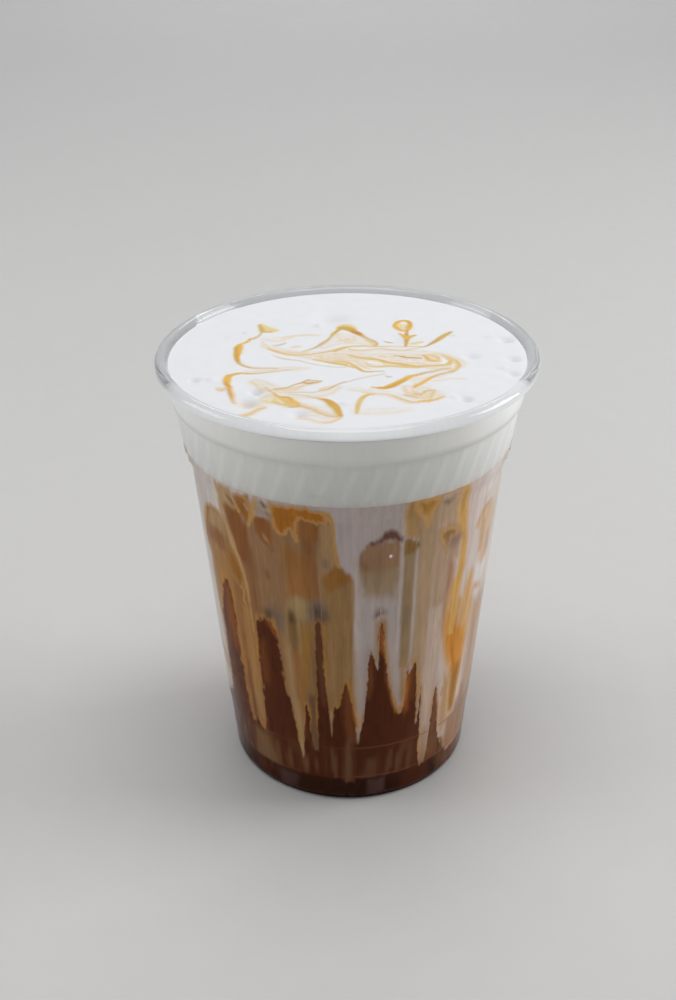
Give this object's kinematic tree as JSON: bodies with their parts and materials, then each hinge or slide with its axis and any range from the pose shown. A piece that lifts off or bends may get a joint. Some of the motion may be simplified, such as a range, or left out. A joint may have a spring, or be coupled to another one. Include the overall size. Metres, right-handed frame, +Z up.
{
  "type": "salted caramel cold brew coffee",
  "caption": "Iced cold brew coffee in a clear tapered cup with a ribbed band, milk streaks, caramel and a thick cold foam top.",
  "frame": {"origin": "middle of the foot, on the surface the cup stands on", "axes": "+Z up along the cup's axis, -Y towards the front"},
  "size_m": [0.098, 0.098, 0.12],
  "materials": {
    "clear_cup": "clear thin thermoformed plastic, glossy",
    "dark_coffee": "dark brown coffee, wet gloss",
    "milky_coffee": "milky coffee streaked with cream and caramel",
    "white_foam": "soft white milk foam with a thin caramel drizzle"
  },
  "bodies": {
    "root": {"cup": "clear_cup", "cold_brew": "dark_coffee", "milk_layer": "milky_coffee", "cold_foam": "white_foam"}
  },
  "joints": []
}
